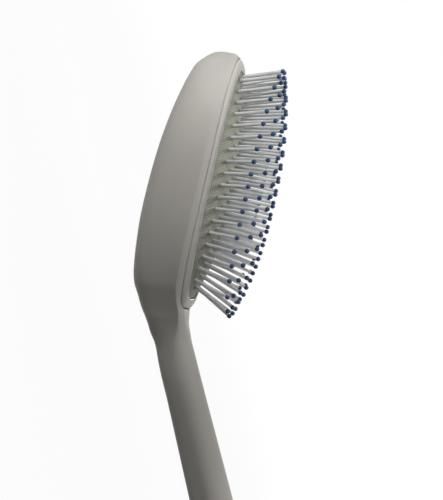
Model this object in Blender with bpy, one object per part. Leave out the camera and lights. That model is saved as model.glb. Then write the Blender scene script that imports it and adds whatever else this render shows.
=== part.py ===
# Long-handled styling brush: a deep moulded head on a long bent handle, with an
# oval air cushion whose ball-tipped pins stand in seven columns.
# Units are metres, +Z is up. The brush lies on its heel and its handle's end, pins up,
# with its handle toward +X.

import bpy
import bmesh
from math import atan2, cos, pi, radians, sin
from mathutils import Matrix, Vector

# Clearances
GAP = 0.0003                    # between pieces that touch
MOVING_GAP = 0.0005             # round the part of the pad that moves
CUT_OVERRUN = 0.004             # how far a cutter passes the face that it cuts
WELD_DISTANCE = 0.00001         # corners closer than this are one

# Head
TIP_LENGTH = 0.0570             # the seam oval, from its widest place to the tip
HEEL_LENGTH = 0.0590            # and from there to the handle
HEAD_WIDTH = 0.0530             # the seam oval, across
HEAD_DEPTH = 0.0267             # seam plane to the deepest point of the back
EDGE_BULGE = 0.0025             # how far the shell's side stands out past the seam
TIP_BULGE = 0.0018              # the same at the tip
EDGE_DROP = 0.0027              # the widest line's depth below the seam plane
MOUTH_LAND = 0.0004             # flat between the seat and the round of the shell's edge
SHELL_WALL = 0.0026
HANDLE_WALL = 0.0034
EDGE_POWER = 1.35               # roundness of that front edge, where 1 is a flat chamfer
TIP_POWER = 2.7                 # bluntness of the seam oval toward the tip
HEEL_POWER = 3.9                # and toward the handle
SHELL_TIP_POWER = 2.35          # bluntness of the shell's tip
BACK_POWER = 4.2                # bluntness of the back's corners
HEEL_FLAT = 0.0050              # length of the heel's resting flat

# Handle
HANDLE_LENGTH = 0.2170          # from its root to the rounded end
HANDLE_THICKNESS = 0.0204       # front to back, at its fullest
HANDLE_WIDTH = 0.0236           # side to side, at its fullest
HANDLE_BEND = radians(26.9)     # toward the pins, from the head's front plane
HANDLE_CORE_SHARE = 0.92        # how much of the handle's length is hollow

# Seat in the head's mouth
SEAT_DEPTH = 0.0040             # seam plane to the ledge
LEDGE_WIDTH = 0.0030

# Frame round the cushion
FRAME_WIDTH = 0.0051
FRAME_RISE = 0.0024             # its inner edge, over the seam plane
FRAME_EDGE_RISE = 0.0003        # its outer edge, over the seam plane
FRAME_SKIRT_WIDTH = 0.0018
FRAME_LIP_ROUND = 0.0004

# Tray behind the cushion
TRAY_WALL = 0.0014
TRAY_PAN_DEPTH = 0.0065         # from the ledge to the pan's underside

# Cushion
CUSHION_THICKNESS = 0.0016
CUSHION_CLAMP_THICKNESS = 0.0014
CUSHION_EDGE_LEVEL = 0.0014     # its surface at the frame, over the seam plane
CUSHION_CROWN = 0.0081          # how far the middle stands over that edge
CROWN_TIP_POWER = 2.2           # how late the crown falls toward the tip
CROWN_HEEL_POWER = 3.1          # toward the handle
CROWN_WIDTH_POWER = 2.2         # and toward the sides
CUSHION_LIP_WIDTH = 0.0004

# Pins
COLUMNS = 7
PIN_PITCH = 0.00538             # along the head
PIN_FIELD_SHARE = 0.730         # outer columns, as a share of the moving pad's half width
PIN_REACH_SHARE = 0.945         # how much of the pad's half length the pins may take
PIN_FIELD_SHIFT = -0.0011       # the pin field's centre lies a little nearer the tip than the pad's
PIN_LENGTH = 0.0201             # cushion surface to the ball's top
PIN_ROOT_RADIUS = 0.00080
PIN_NECK_RADIUS = 0.00066
PIN_LEAN_ACROSS = 1.97          # lean of a pin over the lean of the surface's normal
PIN_LEAN_TIP = 1.19
PIN_LEAN_HEEL = 1.52
PIN_LEAN_SIDE_FALL = 0.31       # how much less the outer columns fan out along the head
BALL_RADIUS = 0.00112
BALL_CROWN_RADIUS = 0.00050
BALL_HEIGHT = 0.0020
BALL_WIDEST_SHARE = 0.5
PIN_SIDES = 4
FIELD_EDGE_SHARE = 0.985        # where the moving pad's straight ends lie

OVAL_STEPS = 64
SLICE_STEPS = 18

# Tip stations, past the seam: how far out on the bulge, front level and back level. Levels
# are shares of the head's depth.
TIP_SHARES = ((0.985, -0.165, -0.250), (0.86, -0.085, -0.310), (0.55, -0.030, -0.370), (0.0, -0.008, -0.440))
# Head stations: place as a share of the tip's or the heel's length, and back level.
HEAD_BACK_SHARES = (
    (-0.9700, -0.512), (-0.9300, -0.585), (-0.8650, -0.684), (-0.7850, -0.741),
    (-0.6450, -0.807), (-0.4470, -0.884), (-0.2330, -0.942), (0.0000, -0.981),
    (0.2220, -0.996), (0.4458, -0.990), (0.5835, -0.966), (0.7074, -0.940),
    (0.8072, -0.910),
)
# Neck stations: back point, front point, half width (share of half the head's width),
# level of the widest line, and how far the section has turned into an oval.
HEEL_SHARE = (0.8967, -0.856)
NECK_SHARES = (
    ((1.0585, -0.6830), (1.0224, 0.049), 0.650, 0.92, 0.25),
    ((1.1446, -0.5680), (1.0912, 0.097), 0.490, 0.86, 0.50),
    ((1.2306, -0.4670), (1.1601, 0.170), 0.415, 0.74, 0.80),
    ((1.3130, -0.3460), (1.2320, 0.243), 0.388, 0.58, 1.00),
)
EDGE_LEVEL_SHARES = (0.10, 0.55)    # least and most height of the front edge's round, of a section
HEEL_FRONT_SHARES = (0.8847, 0.9535)
HEEL_WIDTH_SHARES = (0.905, 0.790)
HEEL_LEVEL_SHARES = (0.900, 0.925)
HEEL_TURN_SHARES = (0.02, 0.10)
HANDLE_ROOT_SHARE = (1.3752, 0.055)
# Handle stations: place along it, thickness and width, as shares of its full sizes.
HANDLE_SHARES = (
    (0.000, 0.820, 0.835), (0.080, 0.835, 0.848), (0.200, 0.878, 0.880), (0.340, 0.925, 0.920),
    (0.500, 0.968, 0.962), (0.660, 1.000, 1.000), (0.800, 0.998, 0.996), (0.890, 0.965, 0.962),
    (0.940, 0.890, 0.890), (0.970, 0.770, 0.780), (0.988, 0.600, 0.620), (0.997, 0.400, 0.430),
    (1.000, 0.220, 0.250),
)
BACK_ANGLES = (-78, -64, -52, -41, -30, -18, 0)
EDGE_ANGLES = (24, 48, 70, 90)
FRONT_SHARES = (0.55,)
OVAL_FRONT_ANGLES = (14, 30, 47, 64, 79)

COLOURS = {
    "shell": (0.345, 0.330, 0.305),
    "frame": (0.365, 0.350, 0.325),
    "cushion": (0.185, 0.200, 0.175),
    "pin": (0.300, 0.315, 0.315),
    "tray": (0.090, 0.088, 0.084),
}


def clear_scene():
    for item in list(bpy.data.objects):
        bpy.data.objects.remove(item, do_unlink=True)


def new_collection(name):
    collection = bpy.data.collections.new(name)
    bpy.context.scene.collection.children.link(collection)
    return collection


def material(name, colour, roughness, metallic=0.0):
    mat = bpy.data.materials.new(name)
    mat.use_nodes = True
    shader = mat.node_tree.nodes["Principled BSDF"]
    shader.inputs["Base Color"].default_value = (*colour, 1.0)
    shader.inputs["Roughness"].default_value = roughness
    shader.inputs["Metallic"].default_value = metallic
    return mat


def finish_mesh(bm, name, collection, mat, smooth_angle=radians(38)):
    bmesh.ops.recalc_face_normals(bm, faces=bm.faces)
    mesh = bpy.data.meshes.new(name)
    bm.to_mesh(mesh)
    bm.free()
    mesh.shade_smooth()
    mesh.set_sharp_from_angle(angle=smooth_angle)
    obj = bpy.data.objects.new(name, mesh)
    collection.objects.link(obj)
    if mat is not None:
        mesh.materials.append(mat)
    return obj


def loft(bm, rings, cap=True, closed=False):
    """Skin a list of rings of equal count with quads."""
    loops = [[bm.verts.new(point) for point in ring] for ring in rings]
    pairs = list(zip(loops, loops[1:]))
    if closed:
        pairs.append((loops[-1], loops[0]))
    for first, second in pairs:
        for i in range(len(first)):
            j = (i + 1) % len(first)
            bm.faces.new((first[i], first[j], second[j], second[i]))
    if cap and not closed:
        bm.faces.new(loops[0])
        bm.faces.new(loops[-1])


def oval_power(x):
    return TIP_POWER if x < 0 else HEEL_POWER


def oval_reach(x):
    return TIP_LENGTH if x < 0 else HEEL_LENGTH


def mouth_half_width(x):
    """Half width of the flat front, which is the seat's and the land round it."""
    return half_width_at(x, 0) + MOUTH_LAND if abs(x) < oval_reach(x) else 0.0


def half_width_at(x, inset):
    """Half width of the seam oval, drawn in by an inset, at a place along the head."""
    reach = oval_reach(x) - inset
    side = HEAD_WIDTH / 2 - inset
    share = min(abs(x) / reach, 1.0)
    return side * (1.0 - share ** oval_power(x)) ** (1.0 / oval_power(x))


def shell_half_width(x):
    """Half width of the shell at its widest line, at a place along the head."""
    reach = oval_reach(x) + (TIP_BULGE if x < 0 else EDGE_BULGE)
    power = SHELL_TIP_POWER if x < 0 else HEEL_POWER
    share = min(abs(x) / reach, 1.0)
    return (HEAD_WIDTH / 2 + EDGE_BULGE) * (1.0 - share ** power) ** (1.0 / power)


def oval_ring(inset, level):
    """Points of the seam oval, drawn in by an inset, at a level over the seam plane."""
    side = HEAD_WIDTH / 2 - inset
    points = []
    for i in range(OVAL_STEPS):
        turn = 2 * pi * (i + 0.5) / OVAL_STEPS
        c, s = cos(turn), sin(turn)
        power = oval_power(c)
        x = (oval_reach(c) - inset) * abs(c) ** (2 / power) * (1 if c > 0 else -1)
        y = side * abs(s) ** (2 / power) * (1 if s > 0 else -1)
        points.append(Vector((x, y, level)))
    return points


def handle_axis_point(share):
    root = Vector((HANDLE_ROOT_SHARE[0] * HEEL_LENGTH, 0, HANDLE_ROOT_SHARE[1] * HEAD_DEPTH))
    return root + Vector((cos(HANDLE_BEND), 0, sin(HANDLE_BEND))) * HANDLE_LENGTH * share


def body_stations():
    """Each station: back point, front point, half width, widest level share, turn, mouth half width."""
    half_width = HEAD_WIDTH / 2
    places = [(-TIP_LENGTH - TIP_BULGE * out, front * HEAD_DEPTH, back * HEAD_DEPTH)
              for out, front, back in TIP_SHARES]
    places += [(place * oval_reach(place), 0.0, back * HEAD_DEPTH) for place, back in HEAD_BACK_SHARES]
    stations = []
    for x, front, back in places:
        drop = (EDGE_DROP + front) / (front - back)
        level = 1.0 - min(max(drop, EDGE_LEVEL_SHARES[0]), EDGE_LEVEL_SHARES[1])
        stations.append((Vector((x, 0, back)), Vector((x, 0, front)), shell_half_width(x),
                         level, 0.0, mouth_half_width(x)))
    angle = rest_angle()
    heel = heel_point()
    heel_end = heel + Vector((cos(angle), 0, sin(angle))) * HEEL_FLAT
    for i, back in enumerate((heel, heel_end)):
        x = HEEL_FRONT_SHARES[i] * HEEL_LENGTH
        stations.append((back, Vector((x, 0, 0)), HEEL_WIDTH_SHARES[i] * half_width,
                         HEEL_LEVEL_SHARES[i], HEEL_TURN_SHARES[i], mouth_half_width(x)))
    for back, front, width, level, turn in NECK_SHARES:
        stations.append((Vector((back[0] * HEEL_LENGTH, 0, back[1] * HEAD_DEPTH)),
                         Vector((front[0] * HEEL_LENGTH, 0, front[1] * HEAD_DEPTH)),
                         width * half_width, level, turn, width * half_width * 0.5))
    stations.extend(handle_stations())
    return stations


def handle_stations():
    normal = Vector((-sin(HANDLE_BEND), 0, cos(HANDLE_BEND)))
    stations = []
    for place, thick, wide in HANDLE_SHARES:
        centre = handle_axis_point(place)
        offset = normal * HANDLE_THICKNESS * thick / 2
        width = HANDLE_WIDTH * wide / 2
        stations.append((centre - offset, centre + offset, width, 0.5, 1.0, width * 0.5))
    return stations


def heel_point():
    return Vector((HEEL_SHARE[0] * HEEL_LENGTH, 0, HEEL_SHARE[1] * HEAD_DEPTH))


def rest_angle():
    """Slope of the line that touches the heel and the underside of the handle's end."""
    heel = heel_point()
    slopes = [atan2(back.z - heel.z, back.x - heel.x) for back, *_ in handle_stations()]
    return min(slopes)


def section_ring(station, inset=0.0):
    """A closed section: a rounded box for the head that turns into an oval for the handle."""
    back, front, width, level, turn, mouth = station
    rise = (front - back).normalized()
    height = (front - back).length - 2 * inset
    base = back + rise * inset
    width = width - inset
    mouth = max(min(mouth - inset, width * 0.985), 0.0)
    low, high = height * level, height * (1 - level)
    half = []
    power = BACK_POWER + (2.0 - BACK_POWER) * turn
    for angle in BACK_ANGLES:
        c, s = cos(radians(angle)), -sin(radians(angle))
        if angle == BACK_ANGLES[0]:
            half.append((width * c ** (2 / power), 0.0))
        else:
            half.append((width * c ** (2 / power), low * (1 - s ** (2 / power))))
    upper = []
    for angle in EDGE_ANGLES:
        c, s = abs(cos(radians(angle))), sin(radians(angle))
        upper.append((mouth + (width - mouth) * c ** (2 / EDGE_POWER), low + high * s ** (2 / EDGE_POWER)))
    for share in FRONT_SHARES:
        upper.append((mouth * share, low + high))
    for (y, z), angle in zip(upper, OVAL_FRONT_ANGLES):
        oval_y, oval_z = width * cos(radians(angle)), low + high * sin(radians(angle))
        half.append((y + (oval_y - y) * turn, z + (oval_z - z) * turn))
    points = [base + rise * z + Vector((0, y, 0)) for y, z in half]
    points += [base + rise * z + Vector((0, -y, 0)) for y, z in reversed(half)]
    return points


def cutter_object(bm, name, cutters):
    cutter = finish_mesh(bm, name, cutters, None)
    cutter.hide_render = True
    cutter.display_type = "WIRE"
    return cutter


def boolean(obj, cutter, operation="DIFFERENCE"):
    modifier = obj.modifiers.new(cutter.name, "BOOLEAN")
    modifier.operation = operation
    modifier.solver = "EXACT"
    modifier.object = cutter


def build_shell(collection, cutters, mat):
    stations = body_stations()
    bm = bmesh.new()
    loft(bm, [section_ring(station) for station in stations])
    bmesh.ops.remove_doubles(bm, verts=bm.verts[:], dist=WELD_DISTANCE)
    shell = finish_mesh(bm, "body_shell", collection, mat)

    # hollow of the bowl and of the handle
    bm = bmesh.new()
    core = []
    first = [i for i, station in enumerate(stations) if station[0].x > -TIP_LENGTH + SHELL_WALL][0]
    head_count = len(TIP_SHARES) + len(HEAD_BACK_SHARES)
    neck_count = head_count + 2 + len(NECK_SHARES)
    for i, station in enumerate(stations):
        if i < first:
            continue
        back, front, width, level, turn, mouth = station
        if i < head_count:
            roof = Vector((front.x, 0, -SEAT_DEPTH))
            station = (back, roof, width, 0.86, turn, mouth)
            core.append(section_ring(station, SHELL_WALL))
        elif i < neck_count:
            share = (i - head_count + 1) / (neck_count - head_count)
            wall = SHELL_WALL + (HANDLE_WALL - SHELL_WALL) * share
            drop = SEAT_DEPTH * max(1 - share * 1.6, 0.0)
            station = (back, front + (back - front).normalized() * drop, width, level, turn, mouth)
            core.append(section_ring(station, wall))
        elif HANDLE_SHARES[i - neck_count][0] <= HANDLE_CORE_SHARE:
            core.append(section_ring(station, HANDLE_WALL))
    loft(bm, core)
    boolean(shell, cutter_object(bm, "hollow_cutter", cutters))

    # seat for the frame and tray, and the opening inside its ledge
    bm = bmesh.new()
    loft(bm, [oval_ring(0.0, -SEAT_DEPTH), oval_ring(0.0, CUT_OVERRUN)])
    boolean(shell, cutter_object(bm, "seat_cutter", cutters))
    bm = bmesh.new()
    loft(bm, [oval_ring(LEDGE_WIDTH, -SEAT_DEPTH - SHELL_WALL - CUT_OVERRUN),
              oval_ring(LEDGE_WIDTH, CUT_OVERRUN)])
    boolean(shell, cutter_object(bm, "opening_cutter", cutters))
    return shell


def band(name, profile, collection, mat):
    """A closed profile of (inset, level) points carried round the seam oval."""
    bm = bmesh.new()
    loft(bm, [oval_ring(inset, level) for inset, level in profile], closed=True)
    return finish_mesh(bm, name, collection, mat, radians(32))


def tray_levels():
    underside = -SEAT_DEPTH + GAP
    return underside, underside + TRAY_WALL


def build_tray(collection, mat):
    underside, top = tray_levels()
    pan_outer = LEDGE_WIDTH + GAP
    pan_inner = pan_outer + TRAY_WALL
    bottom = -SEAT_DEPTH - TRAY_PAN_DEPTH
    bm = bmesh.new()
    profile = ((pan_outer, bottom), (pan_outer, underside), (GAP, underside), (GAP, top),
               (pan_inner, top), (pan_inner, bottom + TRAY_WALL))
    loft(bm, [oval_ring(inset, level) for inset, level in profile])
    return finish_mesh(bm, "cushion_tray", collection, mat, radians(32))


def build_frame(collection, mat):
    clamp_top = tray_levels()[1] + GAP + CUSHION_CLAMP_THICKNESS
    skirt_bottom = tray_levels()[1] + GAP
    inner = FRAME_WIDTH
    profile = (
        (GAP, skirt_bottom), (GAP, FRAME_EDGE_RISE - FRAME_LIP_ROUND),
        (GAP + FRAME_LIP_ROUND, FRAME_EDGE_RISE),
        (inner / 2, (FRAME_EDGE_RISE + FRAME_RISE) / 2),
        (inner - 2 * FRAME_LIP_ROUND, FRAME_RISE), (inner, FRAME_RISE - 2 * FRAME_LIP_ROUND),
        (inner, clamp_top + GAP),
        (GAP + FRAME_SKIRT_WIDTH, clamp_top + GAP), (GAP + FRAME_SKIRT_WIDTH, skirt_bottom),
    )
    return band("cushion_frame", profile, collection, mat)


def build_rim(collection, mat):
    bottom = tray_levels()[1] + GAP
    top = bottom + CUSHION_CLAMP_THICKNESS
    outer = FRAME_SKIRT_WIDTH + 2 * GAP
    lip_outer = FRAME_WIDTH + GAP
    lip_inner = lip_outer + CUSHION_LIP_WIDTH
    profile = ((outer, bottom), (outer, top), (lip_outer, top), (lip_outer, CUSHION_EDGE_LEVEL),
               (lip_inner, CUSHION_EDGE_LEVEL), (lip_inner, bottom))
    return band("cushion_rim", profile, collection, mat)


def pad_inset():
    return FRAME_WIDTH + GAP + CUSHION_LIP_WIDTH + MOVING_GAP


def cushion_height(x, y):
    """Outer surface of the crowned cushion over the seam plane."""
    reach = oval_reach(x) - FRAME_WIDTH
    along = min(abs(x) / reach, 1.0)
    side = max(half_width_at(x, FRAME_WIDTH), GAP)
    across = min(abs(y) / side, 1.0)
    power = CROWN_TIP_POWER if x < 0 else CROWN_HEEL_POWER
    crown = (1 - along ** power) * (1 - across ** CROWN_WIDTH_POWER)
    return CUSHION_EDGE_LEVEL + CUSHION_CROWN * crown


def column_share(column):
    """Lateral place of a column, from -1 to 1 of the pin field's half width."""
    return (column - (COLUMNS - 1) / 2) / ((COLUMNS - 1) / 2)


def column_places(column):
    """Places of a column's pins along the head; columns next to each other are staggered."""
    reach = ((TIP_LENGTH + HEEL_LENGTH) / 2 - pad_inset()) * PIN_REACH_SHARE
    centre = (HEEL_LENGTH - TIP_LENGTH) / 2 + PIN_FIELD_SHIFT
    count = 2 * int(reach / PIN_PITCH) + 1
    if column % 2 == 0:
        count -= 1
    return [centre + (i - (count - 1) / 2) * PIN_PITCH for i in range(count)]


def pin_direction(x, y, column):
    step = PIN_ROOT_RADIUS
    slope_x = (cushion_height(x + step, y) - cushion_height(x - step, y)) / (2 * step)
    slope_y = (cushion_height(x, y + step) - cushion_height(x, y - step)) / (2 * step)
    lean_x = PIN_LEAN_TIP if x < 0 else PIN_LEAN_HEEL
    lean_x *= 1 - PIN_LEAN_SIDE_FALL * column_share(column) ** 2
    return Vector((-lean_x * slope_x, -PIN_LEAN_ACROSS * slope_y, 1.0)).normalized()


def build_column(column, collection, cutters, cushion_mat, pin_mat):
    """One slice of the crowned cushion with its column of pins."""
    spread = column_share(column) * PIN_FIELD_SHARE
    step = PIN_FIELD_SHARE / ((COLUMNS - 1) / 2)
    low, high = spread - step / 2, spread + step / 2
    inset = pad_inset()

    bm = bmesh.new()
    bmesh.ops.create_grid(bm, x_segments=SLICE_STEPS, y_segments=1, size=1.0)
    for vert in bm.verts:
        x = (oval_reach(vert.co.x) - inset) * FIELD_EDGE_SHARE * sin(vert.co.x * pi / 2)
        side = half_width_at(x, inset)
        if vert.co.y > 0:
            y = side if column == COLUMNS - 1 else high * side - MOVING_GAP / 2
        else:
            y = -side if column == 0 else low * side + MOVING_GAP / 2
        vert.co = Vector((x, y, cushion_height(x, y)))
    moved = bmesh.ops.extrude_face_region(bm, geom=bm.faces[:])
    lower = [item for item in moved["geom"] if isinstance(item, bmesh.types.BMVert)]
    bmesh.ops.translate(bm, vec=Vector((0, 0, -CUSHION_THICKNESS)), verts=lower)
    slice_obj = finish_mesh(bm, "pin_column_%d" % (column + 1), collection, cushion_mat)
    slice_obj.data.materials.append(pin_mat)

    bm = bmesh.new()
    shaft_length = PIN_LENGTH - BALL_HEIGHT
    for x in column_places(column):
        y = spread * half_width_at(x, inset)
        root = Vector((x, y, cushion_height(x, y)))
        direction = pin_direction(x, y, column)
        turn = Vector((0, 0, 1)).rotation_difference(direction).to_matrix().to_4x4()
        sunk = CUSHION_THICKNESS / 2
        parts = (
            (-sunk, shaft_length, PIN_ROOT_RADIUS, PIN_NECK_RADIUS),
            (shaft_length, shaft_length + BALL_HEIGHT * BALL_WIDEST_SHARE, PIN_NECK_RADIUS, BALL_RADIUS),
            (shaft_length + BALL_HEIGHT * BALL_WIDEST_SHARE, PIN_LENGTH, BALL_RADIUS, BALL_CROWN_RADIUS),
        )
        made = []
        for start, stop, r_start, r_stop in parts:
            place = Matrix.Translation(root + direction * (start + stop) / 2) @ turn
            made += bmesh.ops.create_cone(bm, cap_ends=False, segments=PIN_SIDES, radius1=r_start,
                                          radius2=r_stop, depth=stop - start, matrix=place)["verts"]
        bmesh.ops.remove_doubles(bm, verts=made, dist=WELD_DISTANCE)
    bmesh.ops.holes_fill(bm, edges=bm.edges[:], sides=PIN_SIDES)
    pins = cutter_object(bm, "pins_of_column_%d" % (column + 1), cutters)
    boolean(slice_obj, pins, "UNION")
    return slice_obj


def main():
    clear_scene()
    collection = new_collection("long_handled_styling_brush")
    cutters = new_collection("cutters")
    shell_mat = material("satin_shell", COLOURS["shell"], 0.38)
    frame_mat = material("satin_frame", COLOURS["frame"], 0.34)
    cushion_mat = material("cushion_rubber", COLOURS["cushion"], 0.62)
    pin_mat = material("pin_nylon", COLOURS["pin"], 0.35)
    tray_mat = material("tray_plastic", COLOURS["tray"], 0.5)

    root = bpy.data.objects.new("brush_root", None)
    collection.objects.link(root)
    pieces = [
        build_shell(collection, cutters, shell_mat),
        build_tray(collection, tray_mat),
        build_frame(collection, frame_mat),
        build_rim(collection, cushion_mat),
    ]
    press = bpy.data.objects.new("cushion_press", None)
    collection.objects.link(press)
    press.parent = root
    for column in range(COLUMNS):
        piece = build_column(column, collection, cutters, cushion_mat, pin_mat)
        piece.parent = press
    for piece in pieces:
        piece.parent = root
    for cutter in cutters.objects:
        cutter.parent = root

    # lay the brush on its heel and its handle's end, with the middle of its base at the origin
    angle = rest_angle()
    root.rotation_euler = (0, angle, 0)
    bpy.context.view_layer.update()
    depsgraph = bpy.context.evaluated_depsgraph_get()
    low, high = Vector((1e9,) * 3), Vector((-1e9,) * 3)
    for item in collection.objects:
        if item.type != "MESH":
            continue
        shape = item.evaluated_get(depsgraph)
        mesh = shape.to_mesh()
        for vert in mesh.vertices:
            place = item.matrix_world @ vert.co
            for axis in range(3):
                low[axis] = min(low[axis], place[axis])
                high[axis] = max(high[axis], place[axis])
        shape.to_mesh_clear()
    root.location = (-(low.x + high.x) / 2, 0, -low.z)
    bpy.context.view_layer.update()
    print("rest angle %.3f degrees" % (angle * 180 / pi))
    print("seam plane centre", tuple(round(value, 6) for value in root.location))
    print("size", tuple(round(value, 5) for value in (high - low)))


main()
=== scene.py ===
# Long-handled styling brush: satin grey body, air cushion and ball-tipped pins.
# Everything is in metres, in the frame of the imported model. The head's own frame has its
# x toward the handle, y across and z out of the opening.

from math import cos, pi, radians, sin, sqrt

import bmesh
import bpy
from mathutils import Matrix, Vector


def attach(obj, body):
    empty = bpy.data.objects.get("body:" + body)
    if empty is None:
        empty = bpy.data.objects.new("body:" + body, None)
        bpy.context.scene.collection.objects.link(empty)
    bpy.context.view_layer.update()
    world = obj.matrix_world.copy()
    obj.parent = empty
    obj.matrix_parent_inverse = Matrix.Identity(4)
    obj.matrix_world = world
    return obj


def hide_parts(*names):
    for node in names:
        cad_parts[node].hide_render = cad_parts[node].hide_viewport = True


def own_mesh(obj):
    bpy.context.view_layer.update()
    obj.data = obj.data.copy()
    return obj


# Sizes of the head
TIP_LENGTH = 0.0570
HEEL_LENGTH = 0.0590
HEAD_WIDTH = 0.0530
HEAD_DEPTH = 0.0267
EDGE_BULGE = 0.0025
TIP_BULGE = 0.0018
EDGE_DROP = 0.0027
MOUTH_LAND = 0.0004
EDGE_POWER = 1.35
TIP_POWER = 2.7
HEEL_POWER = 3.9
SHELL_TIP_POWER = 2.35
BACK_POWER = 4.2
HEEL_FLAT = 0.0050
SEAT_DEPTH = 0.0040
LEDGE_WIDTH = 0.0030
PAN_ROOM = 0.0115

# Handle
HANDLE_LENGTH = 0.2170
HANDLE_THICKNESS = 0.0204
HANDLE_WIDTH = 0.0236
HANDLE_BEND = radians(26.9)
HANDLE_LEAD = 0.006

# Frame, cushion and pins
GAP = 0.0003
RING_GAP = 0.00045
FRAME_WIDTH = 0.0051
FRAME_RISE = 0.0024
FRAME_EDGE_RISE = 0.0003
FRAME_SKIRT_WIDTH = 0.0018
RING_OUTER_ROUND = 0.0003
RING_INNER_ROUND = 0.0007
TRAY_TOP = -0.0023
CLAMP_THICKNESS = 0.0014
CUSHION_THICKNESS = 0.0016
CUSHION_EDGE_LEVEL = 0.0014
CUSHION_EDGE_ROOM = 0.0001
CUSHION_EDGE_STEP = 0.0002
CUSHION_CROWN = 0.0081
CROWN_TIP_POWER = 2.2
CROWN_HEEL_POWER = 3.1
CROWN_WIDTH_POWER = 2.2
PAD_INSET = 0.0063
COLUMNS = 7
PIN_COUNTS = (18, 19)
PIN_PITCH = 0.00538
PIN_FIELD_SHARE = 0.730
PIN_FIELD_CENTRE = -0.0001
PIN_LENGTH = 0.0201
PIN_ROOT_RADIUS = 0.00086
PIN_NECK_RADIUS = 0.00070
PIN_FOOT = 0.0008
PIN_COLLAR = 0.0006
PIN_WAIST = 0.0110
PIN_FOOT_SHARE = 1.16
PIN_COLLAR_SHARE = 1.04
PIN_WAIST_SHARE = 0.88
PIN_LEAN_ACROSS = 1.97
PIN_LEAN_TIP = 1.19
PIN_LEAN_HEEL = 1.52
PIN_LEAN_SIDE_FALL = 0.31
BALL_RADIUS = 0.00110
BALL_HEIGHT = 0.0020
SLOPE_STEP = 0.0008
WELD = 0.000002

# Where the head lies at rest
REST_ANGLE = radians(26.491)
HEAD_PLACE = Vector((-0.116988, 0.0, 0.044178))
HEAD = Matrix.Translation(HEAD_PLACE) @ Matrix.Rotation(REST_ANGLE, 4, "Y")

# How finely the surfaces are drawn, and how their rows crowd toward one end
HEAD_STEPS = 96
HEAD_CROWDING = 2.2
SHAPING_STEPS = 8
BODY_SIDES = 112
OVAL_SIDES = 240
ROUND_STEPS = 5
CUSHION_SIDES = 224
CUSHION_STEPS = 40
CUSHION_TOP_CROWDING = 1.3
CUSHION_UNDER_CROWDING = 0.8
PIN_SIDES = 10
BALL_STEPS = 7

# Half a section is walked from the middle of its back to the middle of its front. The shares
# say where along the walk the wall starts and ends, and the angle where it ends on the handle's
# oval. The crowding powers gather the points of each stretch toward one of its ends.
WALL_START_SHARE = 0.5
WALL_END_SHARE = 0.8
WALL_END_ANGLE = radians(64)
BACK_CROWDING = 1.8
WALL_CROWDING = 1.15
FRONT_CROWDING = 1.4
FLAT_FRONT_SHARE = 0.5
FLAT_LIMIT_SHARE = 0.985

# Back and front levels of the tip, in shares of the head's depth, by place past the seam
TIP_SHARES = ((1.0, -0.205, -0.207), (0.985, -0.150, -0.255), (0.86, -0.085, -0.310),
              (0.55, -0.030, -0.370), (0.0, -0.008, -0.440))

# Back of the head: place in shares of the reach, level in shares of the depth
HEAD_BACK_SHARES = (
    (-0.9700, -0.512), (-0.9300, -0.585), (-0.8650, -0.684), (-0.7850, -0.741),
    (-0.6450, -0.807), (-0.4470, -0.884), (-0.2330, -0.942), (0.0000, -0.981),
    (0.2220, -0.996), (0.4458, -0.990), (0.5835, -0.966), (0.7074, -0.940),
    (0.8072, -0.910),
)

# Heel: where its smooth run starts, its back, front, width, widest level and turn to an oval
HEEL_START_SHARES = (0.70, 0.8072)
HEEL_SHARE = (0.8967, -0.856)
HEEL_FRONT_SHARES = (0.8847, 0.9535)
HEEL_WIDTH_SHARES = (0.905, 0.790)
HEEL_LEVEL_SHARES = (0.900, 0.925)
HEEL_TURN_SHARES = (0.02, 0.10)

# Neck: back and front points, half width, widest level and turn to an oval
NECK_SHARES = (
    ((1.0585, -0.6830), (1.0224, 0.049), 0.650, 0.92, 0.25),
    ((1.1446, -0.5680), (1.0912, 0.097), 0.490, 0.86, 0.50),
    ((1.2306, -0.4670), (1.1601, 0.170), 0.415, 0.74, 0.80),
    ((1.3130, -0.3460), (1.2320, 0.243), 0.388, 0.58, 1.00),
)
EDGE_LEVEL_SHARES = (0.10, 0.55)

# Handle: its root, then place along it, thickness and width
HANDLE_ROOT_SHARE = (1.3752, 0.055)
HANDLE_SHARES = (
    (0.000, 0.820, 0.835), (0.080, 0.835, 0.848), (0.200, 0.878, 0.880), (0.340, 0.925, 0.920),
    (0.500, 0.968, 0.962), (0.660, 1.000, 1.000), (0.800, 0.998, 0.996), (0.890, 0.965, 0.962),
    (0.940, 0.890, 0.890), (0.970, 0.770, 0.780), (0.988, 0.600, 0.620), (0.997, 0.370, 0.390),
    (1.000, 0.0, 0.0),
)

# The ring's crest between its outer edge and its inner lip: shares of its width and rise
RING_CREST_SHARES = ((0.22, 0.52), (0.55, 0.85))

# Camera, in the frame of the model, and lamps. Each lamp has a name, its place and aim in the
# head's frame, the width of its disc, its power in watts and its spread.
CAMERA_PLACE = (-0.02537, -0.52068, 0.08284)
CAMERA_TURN = (radians(71.698), radians(-75.083), radians(24.365))
CAMERA_LENS = 84.16
SENSOR_WIDTH = 36
NEAREST_SEEN = 0.01
LAMPS = (
    ("key_lamp", (-0.150, -0.180, 0.010), (-0.020, 0.0, 0.0), 0.10, 0.061, radians(74)),
    ("side_lamp", (-0.140, -0.130, -0.050), (-0.030, 0.0, 0.0), 0.08, 0.020, radians(66)),
    ("front_lamp", (-0.090, -0.030, 0.220), (-0.010, 0.0, 0.0), 0.12, 0.057, radians(56)),
    ("handle_lamp", (0.240, -0.030, 0.250), (0.180, 0.0, 0.060), 0.10, 0.060, radians(44)),
    ("far_lamp", (-0.020, 0.275, -0.012), (0.010, 0.0, 0.0), 0.12, 0.095, radians(90)),
)
FLOOR_SIZE = 3.0
SHADOW_START = 0.15
SHADOW_END = 0.55
SHADOW_WHITENESS = 0.965
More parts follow.
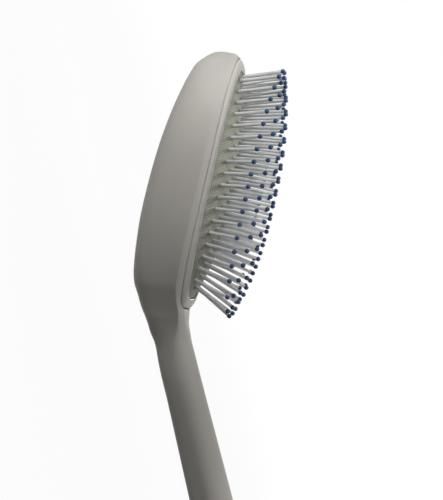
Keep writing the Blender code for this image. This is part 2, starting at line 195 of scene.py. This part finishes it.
SOFT_LIGHT = 0.02
WHITE = (1, 1, 1, 1)


def curve_through(knots):
    """A smooth curve through (place, value...) knots, in order of place."""
    places = [knot[0] for knot in knots]
    values = [Vector(knot[1:]) for knot in knots]
    last = len(knots) - 1

    def slope(i):
        if i == 0:
            return (values[1] - values[0]) / (places[1] - places[0])
        if i == last:
            return (values[last] - values[last - 1]) / (places[last] - places[last - 1])
        before, after = places[i] - places[i - 1], places[i + 1] - places[i]
        rise_before = (values[i] - values[i - 1]) / before
        rise_after = (values[i + 1] - values[i]) / after
        return (rise_before * after + rise_after * before) / (before + after)

    slopes = [slope(i) for i in range(len(knots))]

    def at(place):
        i = 0
        while i < last - 1 and place > places[i + 1]:
            i += 1
        span = places[i + 1] - places[i]
        t = min(max((place - places[i]) / span, 0.0), 1.0)
        start = values[i] * (2 * t ** 3 - 3 * t ** 2 + 1)
        start_slope = slopes[i] * span * (t ** 3 - 2 * t ** 2 + t)
        stop = values[i + 1] * (3 * t ** 2 - 2 * t ** 3)
        stop_slope = slopes[i + 1] * span * (t ** 3 - t ** 2)
        return start + start_slope + stop + stop_slope

    return at


def oval_power(x):
    return TIP_POWER if x < 0 else HEEL_POWER


def oval_reach(x):
    return TIP_LENGTH if x < 0 else HEEL_LENGTH


def seam_half_width(x, inset):
    """Half width of the seam oval, drawn in by an inset."""
    reach, side = oval_reach(x) - inset, HEAD_WIDTH / 2 - inset
    share = min(abs(x) / reach, 1.0)
    return side * (1.0 - share ** oval_power(x)) ** (1.0 / oval_power(x))


def seam_point(turn, inset, level):
    """A point of the seam oval, drawn in by an inset; turn goes once round from 0 to 1."""
    c, s = cos(2 * pi * turn), sin(2 * pi * turn)
    power = oval_power(c)
    x = (oval_reach(c) - inset) * abs(c) ** (2 / power) * (1 if c > 0 else -1)
    y = (HEAD_WIDTH / 2 - inset) * abs(s) ** (2 / power) * (1 if s > 0 else -1)
    return Vector((x, y, level))


def head_levels():
    """Front and back level of the head by place, and the places where the curve starts and ends."""
    tip = [(-TIP_LENGTH - TIP_BULGE * out, front * HEAD_DEPTH, back * HEAD_DEPTH)
           for out, front, back in TIP_SHARES]
    head = [(place * oval_reach(place), 0.0, back * HEAD_DEPTH)
            for place, back in HEAD_BACK_SHARES]
    levels = curve_through(tip + head)

    def at(x):
        front, back = levels(x).to_tuple() if x > tip[0][0] else tip[0][1:]
        return (min(front, 0.0) if x < head[0][0] else 0.0), back

    return at, tip[0][0], head[-1][0]


def head_section(x, levels):
    """One section of the head, square to its length."""
    front, back = levels(x)
    reach = oval_reach(x) + (TIP_BULGE if x < 0 else EDGE_BULGE)
    power = SHELL_TIP_POWER if x < 0 else HEEL_POWER
    share = min(abs(x) / reach, 1.0)
    width = (HEAD_WIDTH / 2 + EDGE_BULGE) * (1.0 - share ** power) ** (1.0 / power)
    drop = (EDGE_DROP + front) / max(front - back, WELD)
    level = 1.0 - min(max(drop, EDGE_LEVEL_SHARES[0]), EDGE_LEVEL_SHARES[1])
    mouth = seam_half_width(x, 0.0) + MOUTH_LAND if abs(x) < oval_reach(x) else 0.0
    return x, back, x, front, width, level, 0.0, mouth


def heel_and_neck_sections():
    """The few sections that set the shape from the heel to the end of the neck."""
    half_width = HEAD_WIDTH / 2
    heel = Vector((HEEL_SHARE[0] * HEEL_LENGTH, 0, HEEL_SHARE[1] * HEAD_DEPTH))
    heel_end = heel + Vector((cos(REST_ANGLE), 0, sin(REST_ANGLE))) * HEEL_FLAT
    sections = []
    for i, back in enumerate((heel, heel_end)):
        x = HEEL_FRONT_SHARES[i] * HEEL_LENGTH
        sections.append((back.x, back.z, x, 0.0, HEEL_WIDTH_SHARES[i] * half_width,
                         HEEL_LEVEL_SHARES[i], HEEL_TURN_SHARES[i],
                         seam_half_width(x, 0.0) + MOUTH_LAND))
    for back, front, width, level, turn in NECK_SHARES:
        sections.append((back[0] * HEEL_LENGTH, back[1] * HEAD_DEPTH,
                         front[0] * HEEL_LENGTH, front[1] * HEAD_DEPTH,
                         width * half_width, level, turn, width * half_width * FLAT_FRONT_SHARE))
    return sections


def handle_sections():
    """Each section of the handle, with its place along it."""
    root = Vector((HANDLE_ROOT_SHARE[0] * HEEL_LENGTH, 0, HANDLE_ROOT_SHARE[1] * HEAD_DEPTH))
    along = Vector((cos(HANDLE_BEND), 0, sin(HANDLE_BEND)))
    out = Vector((-sin(HANDLE_BEND), 0, cos(HANDLE_BEND)))
    for place, thick, wide in HANDLE_SHARES:
        centre = root + along * HANDLE_LENGTH * place
        offset = out * HANDLE_THICKNESS * thick / 2
        back, front = centre - offset, centre + offset
        width = HANDLE_WIDTH * wide / 2
        section = (back.x, back.z, front.x, front.z, width, 0.5, 1.0, width * FLAT_FRONT_SHARE)
        yield place, section


def body_sections():
    """Every section from tip to handle end: back x and z, front x and z, half width, widest
    level share, turn to an oval and half width of the flat front."""
    levels, start, stop = head_levels()
    sections = [head_section(start + (stop - start) * (i / HEAD_STEPS) ** HEAD_CROWDING, levels)
                for i in range(HEAD_STEPS + 1)]
    shaping = [head_section(place * HEEL_LENGTH, levels) for place in HEEL_START_SHARES]
    shaping += heel_and_neck_sections()
    places = [0.0]
    for before, after in zip(shaping, shaping[1:]):
        places.append(places[-1] + sqrt((after[0] - before[0]) ** 2 + (after[1] - before[1]) ** 2))
    first = places[-1] + HANDLE_LEAD
    for place, section in handle_sections():
        shaping.append(section)
        places.append(first + 2 * HANDLE_LENGTH * (1 - sqrt(1 - place)))
    run = curve_through([(place, *values) for place, values in zip(places, shaping)])
    for before, after in zip(places[1:], places[2:]):
        for k in range(1, SHAPING_STEPS + 1):
            sections.append(tuple(run(before + (after - before) * k / SHAPING_STEPS)))
    return sections


def section_point(section, turn):
    """A point of one section: a rounded box at the head that turns into an oval at the handle."""
    back = Vector((section[0], 0, section[1]))
    front = Vector((section[2], 0, section[3]))
    width, level, oval_share, mouth = section[4:]
    side = 1 if turn < 0.5 else -1
    half = 2 * turn if turn < 0.5 else 2 * (1 - turn)
    height = (front - back).length
    rise = (front - back).normalized() if height > WELD else Vector((0, 0, 1))
    low, high = height * level, height * (1 - level)
    mouth = max(min(mouth, width * FLAT_LIMIT_SHARE), 0.0)
    if half < WALL_START_SHARE:
        angle = pi / 2 * (1 - (half / WALL_START_SHARE) ** BACK_CROWDING)
        power = BACK_POWER + (2.0 - BACK_POWER) * oval_share
        y = width * max(cos(angle), 0.0) ** (2 / power)
        z = low * (1 - sin(angle) ** (2 / power))
        return back + rise * z + Vector((0, side * y, 0))
    if half < WALL_END_SHARE:
        share = (half - WALL_START_SHARE) / (WALL_END_SHARE - WALL_START_SHARE)
        c, s = max(cos(share * pi / 2), 0.0), sin(share * pi / 2)
        y = mouth + (width - mouth) * c ** (2 / EDGE_POWER)
        z = low + high * s ** (2 / EDGE_POWER)
        angle = WALL_END_ANGLE * share ** WALL_CROWDING
    else:
        share = (1 - half) / (1 - WALL_END_SHARE)
        y, z = mouth * share, low + high
        angle = pi / 2 - (pi / 2 - WALL_END_ANGLE) * share ** FRONT_CROWDING
    oval_y, oval_z = width * cos(angle), low + high * sin(angle)
    y, z = y + (oval_y - y) * oval_share, z + (oval_z - z) * oval_share
    return back + rise * z + Vector((0, side * y, 0))


def wrapped(along, around, surface):
    """A sheet bent round into a tube: surface(row, turn) places each of its points."""
    bm = bmesh.new()
    bmesh.ops.create_grid(bm, x_segments=along, y_segments=around, size=0.5)
    for vert in bm.verts:
        vert.co = surface(vert.co.x + 0.5, (vert.co.y + 0.5) % 1.0)
    bmesh.ops.remove_doubles(bm, verts=bm.verts, dist=WELD)
    return bm


def finish_piece(bm, name, mat, body, sharp=radians(40)):
    """Makes the piece, in its place at rest, and lets it ride on a body."""
    bmesh.ops.dissolve_degenerate(bm, edges=bm.edges, dist=WELD / 4)
    bmesh.ops.recalc_face_normals(bm, faces=bm.faces)
    bmesh.ops.transform(bm, matrix=HEAD, verts=bm.verts)
    mesh = bpy.data.meshes.new(name)
    bm.to_mesh(mesh)
    bm.free()
    mesh.shade_smooth()
    mesh.set_sharp_from_angle(angle=sharp)
    piece = bpy.data.objects.new(name, mesh)
    bpy.context.scene.collection.objects.link(piece)
    mesh.materials.append(mat)
    if body:
        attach(piece, body)
    return piece


def cut_away(piece, cutters):
    """Cuts the pockets out of a piece and keeps only the cut shape."""
    for cutter in cutters:
        cut = piece.modifiers.new(cutter.name, "BOOLEAN")
        cut.operation = "DIFFERENCE"
        cut.solver = "EXACT"
        cut.object = cutter
    bpy.context.view_layer.update()
    shape = piece.evaluated_get(bpy.context.evaluated_depsgraph_get())
    mesh = bpy.data.meshes.new_from_object(shape)
    piece.modifiers.clear()
    piece.data = mesh
    for cutter in cutters:
        bpy.data.objects.remove(cutter, do_unlink=True)
    mesh.shade_smooth()
    mesh.set_sharp_from_angle(angle=radians(40))


def oval_plug(name, inset, bottom, top, mat):
    """A cutter with the outline of the seam oval, drawn in by an inset."""
    rise = top - bottom
    bm = wrapped(1, OVAL_SIDES, lambda row, turn: seam_point(turn, inset, bottom + rise * row))
    bmesh.ops.holes_fill(bm, edges=bm.edges)
    return finish_piece(bm, name, mat, None)


def make_body(mat):
    """Head shell, neck and handle in one, with the seat of the ring and the air pan cut out."""
    sections = body_sections()
    last = len(sections) - 1
    bm = wrapped(last, BODY_SIDES,
                 lambda row, turn: section_point(sections[round(row * last)], turn))
    body = finish_piece(bm, "satin_body", mat, None)
    cut_away(body, [
        oval_plug("seat_pocket", 0.0, -SEAT_DEPTH, SEAT_DEPTH, mat),
        oval_plug("pan_pocket", LEDGE_WIDTH, -PAN_ROOM, SEAT_DEPTH, mat),
    ])
    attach(body, "brush")
    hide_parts("body_shell")


def make_frame(mat):
    """The ring that holds the cushion, drawn once round the opening and rounded at its lips."""
    clamp_top = TRAY_TOP + GAP + CLAMP_THICKNESS
    outer_edge, inner_lip = (RING_GAP, FRAME_EDGE_RISE), (FRAME_WIDTH, FRAME_RISE)
    crest = [(FRAME_WIDTH * width, FRAME_RISE * rise) for width, rise in RING_CREST_SHARES]
    profile = (
        (RING_GAP, TRAY_TOP + GAP), outer_edge, *crest, inner_lip,
        (FRAME_WIDTH, clamp_top + GAP), (GAP + FRAME_SKIRT_WIDTH, clamp_top + GAP),
        (GAP + FRAME_SKIRT_WIDTH, TRAY_TOP + GAP),
    )
    count = len(profile)

    def surface(row, turn):
        inset, level = profile[round(row * count) % count]
        return seam_point(turn, inset, level)

    bm = wrapped(count, OVAL_SIDES, surface)
    for corner, size in ((outer_edge, RING_OUTER_ROUND), (inner_lip, RING_INNER_ROUND)):
        lip = [edge for edge in bm.edges
               if all(abs(vert.co.z - corner[1]) < WELD for vert in edge.verts)]
        bmesh.ops.bevel(bm, geom=lip, offset=size, segments=ROUND_STEPS, profile=0.5,
                        affect="EDGES", material=-1)
    frame_ring = finish_piece(bm, "cushion_ring", mat, "brush", radians(50))
    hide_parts("cushion_frame")


def cushion_height(x, y):
    """Level of the crowned pad."""
    reach = oval_reach(x) - FRAME_WIDTH
    along = min(abs(x) / reach, 1.0)
    across = min(abs(y) / max(seam_half_width(x, FRAME_WIDTH), GAP), 1.0)
    power = CROWN_TIP_POWER if x < 0 else CROWN_HEEL_POWER
    crown = (1 - along ** power) * (1 - across ** CROWN_WIDTH_POWER)
    return CUSHION_EDGE_LEVEL + CUSHION_CROWN * crown


def make_cushion(mat):
    """One closed membrane: a flange under the ring, a turned-up edge, and the crowned pad."""
    edge = FRAME_WIDTH + GAP
    flange = FRAME_SKIRT_WIDTH + 2 * GAP
    flange_bottom, flange_top = TRAY_TOP + GAP, TRAY_TOP + GAP + CLAMP_THICKNESS
    rings = [("flat", flange, flange_bottom), ("flat", flange, flange_top),
             ("flat", edge, flange_top), ("flat", edge, CUSHION_EDGE_LEVEL - CUSHION_EDGE_STEP)]
    shares = [i / CUSHION_STEPS for i in range(CUSHION_STEPS + 1)]
    rings += [("top", 1 - share ** CUSHION_TOP_CROWDING, 0.0) for share in shares]
    rings += [("under", share ** CUSHION_UNDER_CROWDING, 0.0) for share in shares]
    rings += [("flat", edge + CUSHION_THICKNESS, flange_bottom)]
    count = len(rings)

    def surface(row, turn):
        kind, size, level = rings[round(row * count) % count]
        if kind == "flat":
            return seam_point(turn, size, level)
        if kind == "top":
            point = seam_point(turn, edge + CUSHION_EDGE_ROOM, 0.0) * size
            point.z = cushion_height(point.x, point.y)
            return point
        point = seam_point(turn, edge + CUSHION_THICKNESS, 0.0) * size
        point.z = cushion_height(point.x, point.y) - CUSHION_THICKNESS
        return point

    bm = wrapped(count, CUSHION_SIDES, surface)
    cushion = finish_piece(bm, "air_cushion", mat, "brush", radians(60))
    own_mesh(cushion)
    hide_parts("cushion_rim", *["pin_column_%d" % (i + 1) for i in range(COLUMNS)])


def pin_places():
    """Root and direction of every pin, column by column."""
    places = []
    for column in range(COLUMNS):
        share = (column - (COLUMNS - 1) / 2) / ((COLUMNS - 1) / 2)
        side_fall = 1 - PIN_LEAN_SIDE_FALL * share ** 2
        count = PIN_COUNTS[column % 2]
        for i in range(count):
            x = PIN_FIELD_CENTRE + (i - (count - 1) / 2) * PIN_PITCH
            y = share * PIN_FIELD_SHARE * seam_half_width(x, PAD_INSET)
            rise_x = cushion_height(x + SLOPE_STEP, y) - cushion_height(x - SLOPE_STEP, y)
            rise_y = cushion_height(x, y + SLOPE_STEP) - cushion_height(x, y - SLOPE_STEP)
            slope_x, slope_y = rise_x / (2 * SLOPE_STEP), rise_y / (2 * SLOPE_STEP)
            lean = (PIN_LEAN_TIP if x < 0 else PIN_LEAN_HEEL) * side_fall
            direction = Vector((-lean * slope_x, -PIN_LEAN_ACROSS * slope_y, 1.0)).normalized()
            places.append((Vector((x, y, cushion_height(x, y))), direction))
    return places


def make_pins(pin_mat, ball_mat):
    """The round tapered pins and the balls on their ends."""
    shafts, balls = bmesh.new(), bmesh.new()
    shaft_length = PIN_LENGTH - BALL_HEIGHT / 2
    collar, waist = PIN_ROOT_RADIUS * PIN_COLLAR_SHARE, PIN_ROOT_RADIUS * PIN_WAIST_SHARE
    parts = ((-PIN_FOOT, PIN_COLLAR, PIN_ROOT_RADIUS * PIN_FOOT_SHARE, collar),
             (PIN_COLLAR, PIN_WAIST, collar, waist),
             (PIN_WAIST, shaft_length, waist, PIN_NECK_RADIUS))
    for root, direction in pin_places():
        turn = Vector((0, 0, 1)).rotation_difference(direction).to_matrix().to_4x4()
        made = []
        for start, stop, lower, upper in parts:
            place = Matrix.Translation(root + direction * (start + stop) / 2) @ turn
            cone = bmesh.ops.create_cone(shafts, cap_ends=False, segments=PIN_SIDES, radius1=lower,
                                         radius2=upper, depth=stop - start, matrix=place)
            made += cone["verts"]
        bmesh.ops.remove_doubles(shafts, verts=made, dist=WELD)
        place = Matrix.Translation(root + direction * shaft_length) @ turn
        bmesh.ops.create_uvsphere(balls, u_segments=PIN_SIDES, v_segments=BALL_STEPS,
                                  radius=BALL_RADIUS, matrix=place)
    bmesh.ops.holes_fill(shafts, edges=shafts.edges, sides=PIN_SIDES)
    pins = finish_piece(shafts, "pins", pin_mat, "cushion", radians(60))
    tips = finish_piece(balls, "ball_tips", ball_mat, "cushion", radians(80))
    for piece in (pins, tips):
        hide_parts(*["pin_column_%d" % (i + 1) for i in range(COLUMNS)])


class Finish:
    """A material's nodes, reading the object's own coordinates in metres."""

    def __init__(self, name):
        self.mat = bpy.data.materials.new(name)
        self.mat.use_nodes = True
        self.tree = self.mat.node_tree
        self.shader = self.tree.nodes["Principled BSDF"]
        coordinates = self.tree.nodes.new("ShaderNodeTexCoord")
        self.place = coordinates.outputs["Object"]

    def add(self, kind, **values):
        node = self.tree.nodes.new(kind)
        for name, value in values.items():
            setattr(node, name, value)
        return node

    def join(self, output, target):
        self.tree.links.new(output, target)

    def head_place(self):
        """Coordinates turned into the head's own frame, so that a weave follows the pad."""
        mapping = self.add("ShaderNodeMapping", vector_type="TEXTURE")
        mapping.inputs["Location"].default_value = HEAD_PLACE
        mapping.inputs["Rotation"].default_value = (0, REST_ANGLE, 0)
        self.join(self.place, mapping.inputs["Vector"])
        return mapping.outputs["Vector"]

    def noise(self, scale, detail=2.0):
        node = self.add("ShaderNodeTexNoise")
        node.inputs["Scale"].default_value = scale
        node.inputs["Detail"].default_value = detail
        self.join(self.place, node.inputs["Vector"])
        return node.outputs["Fac"]

    def bands(self, vector, slant, across, scale, distortion):
        """Wavy bands at a slant; a value of across below 1 draws them out over the width."""
        turn = self.add("ShaderNodeMapping")
        turn.inputs["Rotation"].default_value = (0, 0, slant)
        turn.inputs["Scale"].default_value = (1.0, across, 1.0)
        self.join(vector, turn.inputs["Vector"])
        wave = self.add("ShaderNodeTexWave", wave_type="BANDS", bands_direction="X")
        wave.inputs["Scale"].default_value = scale
        wave.inputs["Distortion"].default_value = distortion
        wave.inputs["Detail"].default_value = 1.0
        self.join(turn.outputs["Vector"], wave.inputs["Vector"])
        return wave.outputs["Fac"]

    def between(self, value, low, high, value_low=0.35, value_high=0.65):
        """Carries a pattern's value over to a range of its own."""
        node = self.add("ShaderNodeMapRange")
        node.inputs["From Min"].default_value = value_low
        node.inputs["From Max"].default_value = value_high
        node.inputs["To Min"].default_value = low
        node.inputs["To Max"].default_value = high
        self.join(value, node.inputs["Value"])
        return node.outputs["Result"]

    def tone(self, value, dark, light, value_low=0.3, value_high=0.7):
        ramp = self.add("ShaderNodeValToRGB")
        ramp.color_ramp.elements[0].position = value_low
        ramp.color_ramp.elements[0].color = (*dark, 1)
        ramp.color_ramp.elements[1].position = value_high
        ramp.color_ramp.elements[1].color = (*light, 1)
        self.join(value, ramp.inputs["Fac"])
        return ramp.outputs["Color"]

    def bump(self, height, strength, distance, under=None):
        node = self.add("ShaderNodeBump")
        node.inputs["Strength"].default_value = strength
        node.inputs["Distance"].default_value = distance
        self.join(height, node.inputs["Height"])
        if under:
            self.join(under, node.inputs["Normal"])
        return node.outputs["Normal"]

    def set(self, **values):
        for name, value in values.items():
            socket = self.shader.inputs[name.replace("_", " ")]
            if isinstance(value, bpy.types.NodeSocket):
                self.join(value, socket)
            else:
                socket.default_value = value
        return self.mat


def satin_paint(name, dark, light, roughness):
    """Satin lacquer over moulded plastic: faint mottling and a very fine skin."""
    look = Finish(name)
    cloud = look.noise(scale=28, detail=3)
    skin = look.bump(look.noise(scale=1500), strength=0.10, distance=0.00006)
    grain = look.bump(look.noise(scale=5200, detail=1), strength=0.12, distance=0.00003, under=skin)
    return look.set(
        Base_Color=look.tone(cloud, dark, light),
        Roughness=look.between(look.noise(scale=420, detail=3), roughness - 0.03, roughness + 0.05),
        Normal=grain,
        Specular_IOR_Level=0.14)


def woven_rubber(name, dark, light):
    """Matt rubber pressed on a fine cloth: a diagonal weave that follows the pad."""
    look = Finish(name)
    place = look.head_place()
    threads = [look.bands(place, slant, across=0.6, scale=375, distortion=1.4)
               for slant in (radians(45), radians(-45))]
    weave = look.add("ShaderNodeMath", operation="MULTIPLY")
    look.join(threads[0], weave.inputs[0])
    look.join(threads[1], weave.inputs[1])
    mottle = look.add("ShaderNodeMath", operation="MULTIPLY_ADD")
    mottle.inputs[1].default_value = 0.35
    look.join(look.noise(scale=900), mottle.inputs[0])
    look.join(weave.outputs[0], mottle.inputs[2])
    return look.set(
        Base_Color=look.tone(mottle.outputs[0], dark, light, value_low=0.15, value_high=1.0),
        Roughness=look.between(look.noise(scale=160), 0.62, 0.74),
        Normal=look.bump(weave.outputs[0], strength=0.55, distance=0.00012),
        Specular_IOR_Level=0.35)


def pin_nylon(name, dark, light):
    """Milky plastic that lets some light in and through."""
    look = Finish(name)
    return look.set(
        Base_Color=look.tone(look.noise(scale=240), dark, light),
        Roughness=look.between(look.noise(scale=700), 0.46, 0.56),
        Normal=look.bump(look.noise(scale=1900, detail=1), strength=0.10, distance=0.00005),
        Specular_IOR_Level=0.22,
        Transmission_Weight=0.28,
        IOR=1.25,
        Subsurface_Weight=0.8,
        Subsurface_Radius=(1.0, 1.0, 1.0),
        Subsurface_Scale=0.0025)


def ball_gloss(name, dark, light):
    """Dipped bead: a glossy coat that thickens unevenly."""
    look = Finish(name)
    coat = look.noise(scale=130, detail=1)
    return look.set(
        Base_Color=look.tone(coat, dark, light, value_low=0.38, value_high=0.62),
        Roughness=look.between(look.noise(scale=900), 0.20, 0.30),
        Normal=look.bump(look.noise(scale=1600, detail=1), strength=0.06, distance=0.00005),
        Specular_IOR_Level=0.32)


def tray_plastic(name, dark, light):
    """Plain moulded plastic inside the head."""
    look = Finish(name)
    return look.set(
        Base_Color=look.tone(look.noise(scale=60, detail=3), dark, light),
        Roughness=look.between(look.noise(scale=500), 0.48, 0.58),
        Normal=look.bump(look.noise(scale=2400), strength=0.2, distance=0.00005))


def seen_directly(nodes, links):
    """Is 1 for camera, glossy and transmission rays, which see the white background."""
    path = nodes.new("ShaderNodeLightPath")
    seen = path.outputs["Is Camera Ray"]
    for ray in ("Is Glossy Ray", "Is Transmission Ray"):
        either = nodes.new("ShaderNodeMath")
        either.operation = "MAXIMUM"
        links.new(seen, either.inputs[0])
        links.new(path.outputs[ray], either.inputs[1])
        seen = either.outputs[0]
    return seen


def white_over(nodes, links, white_kind, share, under, output):
    """Lays plain white over a shader by a share and leads both to the output."""
    white = nodes.new(white_kind)
    white.inputs["Color"].default_value = WHITE
    white.inputs["Strength"].default_value = 1.0
    mix = nodes.new("ShaderNodeMixShader")
    links.new(share, mix.inputs["Fac"])
    links.new(under.outputs[0], mix.inputs[1])
    links.new(white.outputs[0], mix.inputs[2])
    links.new(mix.outputs[0], nodes[output].inputs["Surface"])


def floor_finish():
    """A pale floor that shows white to the camera and keeps a soft shadow near the brush."""
    mat = bpy.data.materials.new("studio_floor")
    mat.use_nodes = True
    nodes, links = mat.node_tree.nodes, mat.node_tree.links
    shader = nodes["Principled BSDF"]
    shader.inputs["Roughness"].default_value = 0.9
    shader.inputs["Specular IOR Level"].default_value = 0.1
    coordinates = nodes.new("ShaderNodeTexCoord")
    noise = nodes.new("ShaderNodeTexNoise")
    noise.inputs["Scale"].default_value = 3.0
    ramp = nodes.new("ShaderNodeValToRGB")
    ramp.color_ramp.elements[0].color = (0.36, 0.36, 0.36, 1)
    ramp.color_ramp.elements[1].color = (0.42, 0.42, 0.42, 1)
    links.new(coordinates.outputs["Object"], noise.inputs["Vector"])
    links.new(noise.outputs["Fac"], ramp.inputs["Fac"])
    links.new(ramp.outputs["Color"], shader.inputs["Base Color"])
    reach = nodes.new("ShaderNodeVectorMath")
    reach.operation = "LENGTH"
    links.new(coordinates.outputs["Object"], reach.inputs[0])
    whiteness = nodes.new("ShaderNodeMapRange")
    whiteness.interpolation_type = "SMOOTHSTEP"
    whiteness.inputs["From Min"].default_value = SHADOW_START
    whiteness.inputs["From Max"].default_value = SHADOW_END
    whiteness.inputs["To Min"].default_value = SHADOW_WHITENESS
    whiteness.inputs["To Max"].default_value = 1.0
    links.new(reach.outputs["Value"], whiteness.inputs["Value"])
    share = nodes.new("ShaderNodeMath")
    share.operation = "MULTIPLY"
    links.new(seen_directly(nodes, links), share.inputs[0])
    links.new(whiteness.outputs["Result"], share.inputs[1])
    white_over(nodes, links, "ShaderNodeEmission", share.outputs[0], shader, "Material Output")
    return mat


def studio_floor():
    bm = bmesh.new()
    bmesh.ops.create_grid(bm, x_segments=4, y_segments=4, size=FLOOR_SIZE)
    mesh = bpy.data.meshes.new("studio_floor")
    bm.to_mesh(mesh)
    bm.free()
    mesh.materials.append(floor_finish())
    floor = bpy.data.objects.new("studio_floor", mesh)
    bpy.context.scene.collection.objects.link(floor)


def studio_world():
    """A faint even light, with white behind everything that the camera sees."""
    world = bpy.data.worlds.new("studio_world")
    bpy.context.scene.world = world
    world.use_nodes = True
    nodes, links = world.node_tree.nodes, world.node_tree.links
    soft = nodes["Background"]
    soft.inputs["Color"].default_value = WHITE
    soft.inputs["Strength"].default_value = SOFT_LIGHT
    seen = seen_directly(nodes, links)
    white_over(nodes, links, "ShaderNodeBackground", seen, soft, "World Output")


def soft_lamp(name, place, aim, size, power, spread):
    """An area lamp, with its place and aim in the head's frame."""
    lamp = bpy.data.lights.new(name, "AREA")
    lamp.shape = "DISK"
    lamp.size = size
    lamp.energy = power
    lamp.spread = spread
    item = bpy.data.objects.new(name, lamp)
    start, stop = HEAD @ Vector(place), HEAD @ Vector(aim)
    item.location = start
    item.rotation_euler = (stop - start).to_track_quat("-Z", "Y").to_euler()
    bpy.context.scene.collection.objects.link(item)


def studio_camera():
    camera = bpy.data.cameras.new("product_camera")
    camera.lens = CAMERA_LENS
    camera.sensor_width = SENSOR_WIDTH
    camera.clip_start = NEAREST_SEEN
    item = bpy.data.objects.new("product_camera", camera)
    item.location = CAMERA_PLACE
    item.rotation_euler = CAMERA_TURN
    bpy.context.scene.collection.objects.link(item)
    bpy.context.scene.camera = item


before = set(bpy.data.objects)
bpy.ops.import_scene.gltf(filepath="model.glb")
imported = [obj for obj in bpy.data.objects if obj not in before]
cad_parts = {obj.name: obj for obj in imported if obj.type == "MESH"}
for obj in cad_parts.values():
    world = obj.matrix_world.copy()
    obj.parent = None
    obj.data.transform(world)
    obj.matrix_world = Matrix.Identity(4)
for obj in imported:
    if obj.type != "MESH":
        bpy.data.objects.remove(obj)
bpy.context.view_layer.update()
bpy.context.scene.view_settings.view_transform = "Standard"

make_body(satin_paint("satin_body_paint", dark=(0.345, 0.330, 0.304), light=(0.375, 0.359, 0.332),
                      roughness=0.46))
make_frame(satin_paint("satin_ring_paint", dark=(0.375, 0.360, 0.333), light=(0.405, 0.389, 0.361),
                       roughness=0.38))
make_cushion(woven_rubber("woven_cushion_rubber", dark=(0.196, 0.199, 0.164),
                          light=(0.388, 0.388, 0.322)))
make_pins(pin_nylon("milky_pin_nylon", dark=(0.520, 0.528, 0.525), light=(0.600, 0.608, 0.605)),
          ball_gloss("navy_ball_gloss", dark=(0.007, 0.030, 0.092), light=(0.009, 0.052, 0.150)))

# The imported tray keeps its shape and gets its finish
tray_finish = tray_plastic("moulded_tray", dark=(0.075, 0.073, 0.070), light=(0.105, 0.103, 0.099))
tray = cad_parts["cushion_tray"]
for slot in tray.material_slots:
    slot.material = tray_finish

studio_floor()
studio_world()
for lamp_facts in LAMPS:
    soft_lamp(*lamp_facts)
studio_camera()
